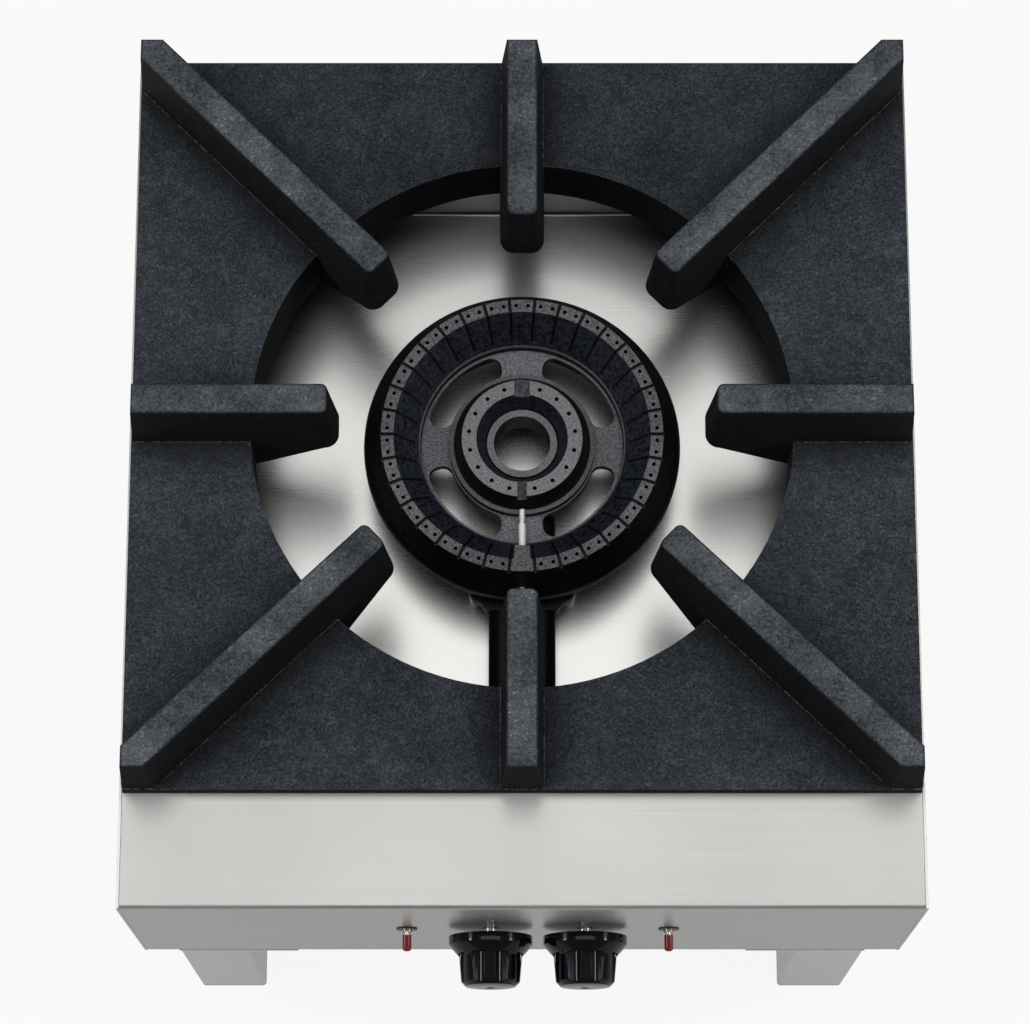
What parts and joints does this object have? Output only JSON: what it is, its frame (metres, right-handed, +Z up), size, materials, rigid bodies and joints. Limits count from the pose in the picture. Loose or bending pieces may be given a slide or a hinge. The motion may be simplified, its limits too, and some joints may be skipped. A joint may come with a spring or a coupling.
{
  "type": "paella burner",
  "caption": "Free-standing gas paella burner: stainless box on legs, cast grate with radiating fingers over a two-ring burner, front ledge, fluted knobs and small red levers.",
  "frame": {"origin": "middle of the footprint at floor level, knobs and inlet included", "axes": "+Z up, +Y from the front panel to the back, +X to the right of a person facing the knobs"},
  "size_m": [0.45, 0.5592, 0.376],
  "materials": {
    "stainless": "satin brushed stainless",
    "pan_steel": "brushed stainless",
    "grate_iron": "matte black seasoned casting",
    "burner_iron": "black casting with machined grey faces",
    "knob_black": "gloss black phenolic",
    "lever_red": "soft gloss red",
    "brass": "turned brass",
    "bright_steel": "polished",
    "dark_steel": "blackened",
    "zinc_steel": "zinc plated",
    "pipe_steel": "grey painted pipe",
    "feed_aluminium": "drawn tube",
    "foot_black": "moulded"
  },
  "bodies": {
    "chassis": {"front_panel": "stainless", "side_panel_left": "stainless", "side_panel_right": "stainless", "back_panel": "stainless", "leg_front_left": "stainless", "leg_front_right": "stainless", "leg_back_left": "stainless", "leg_back_right": "stainless", "spill_pan": "pan_steel", "pan_rail_left": "pan_steel", "pan_rail_right": "pan_steel", "injector_plate": "pan_steel", "manifold_bracket_left": "pan_steel", "manifold_bracket_right": "pan_steel", "burner_body": "burner_iron", "valve_body_left": "brass", "valve_body_right": "brass", "injector_left": "brass", "injector_right": "brass", "pilot_valve_left": "brass", "pilot_valve_right": "brass", "pilot_nozzle_outer": "brass", "pilot_tube_inner": "bright_steel", "pilot_tube_outer": "bright_steel", "pilot_nozzle_inner": "bright_steel", "burner_posts": "bright_steel", "pilot_washer_left": "dark_steel", "pilot_washer_right": "dark_steel", "leg_bolts": "zinc_steel", "burner_bolts": "zinc_steel", "bracket_screws": "zinc_steel", "plate_screws": "zinc_steel", "inlet_locknut": "zinc_steel", "manifold_plug": "zinc_steel", "manifold_pipe": "pipe_steel", "gas_inlet": "pipe_steel", "feed_tube_left": "feed_aluminium", "feed_tube_right": "feed_aluminium", "foot_plug_front_left": "foot_black", "foot_plug_front_right": "foot_black", "foot_plug_back_left": "foot_black", "foot_plug_back_right": "foot_black"},
    "grate_body": {"grate": "grate_iron"},
    "outer_cap": {"outer_ring_cap": "burner_iron"},
    "inner_cap": {"inner_ring_cap": "burner_iron"},
    "left_knob": {"knob_left": "knob_black", "valve_stem_left": "bright_steel"},
    "right_knob": {"knob_right": "knob_black", "valve_stem_right": "bright_steel"},
    "left_lever": {"pilot_lever_left": "bright_steel", "lever_sleeve_left": "lever_red"},
    "right_lever": {"pilot_lever_right": "bright_steel", "lever_sleeve_right": "lever_red"}
  },
  "joints": [
    {"name": "grate_lift", "type": "slide", "parent": "chassis", "child": "grate_body", "axis": [0, 0, 1], "range_m": [0, 0.12]},
    {"name": "outer_cap_lift", "type": "slide", "parent": "chassis", "child": "outer_cap", "axis": [0, 0, 1], "range_m": [0, 0.1]},
    {"name": "inner_cap_lift", "type": "slide", "parent": "chassis", "child": "inner_cap", "axis": [0, 0, 1], "range_m": [0, 0.1]},
    {"name": "left_knob_turn", "type": "hinge", "parent": "chassis", "child": "left_knob", "pos_m": [-0.018, -0.2454, 0.248], "axis": [0, -1, 0], "range_deg": [0, 90]},
    {"name": "right_knob_turn", "type": "hinge", "parent": "chassis", "child": "right_knob", "pos_m": [0.036, -0.2454, 0.248], "axis": [0, -1, 0], "range_deg": [0, 90]},
    {"name": "left_lever_flip", "type": "hinge", "parent": "chassis", "child": "left_lever", "pos_m": [-0.066, -0.2446, 0.248], "axis": [-1, 0, 0], "range_deg": [0, 26]},
    {"name": "right_lever_flip", "type": "hinge", "parent": "chassis", "child": "right_lever", "pos_m": [0.084, -0.2446, 0.248], "axis": [-1, 0, 0], "range_deg": [0, 26]}
  ]
}
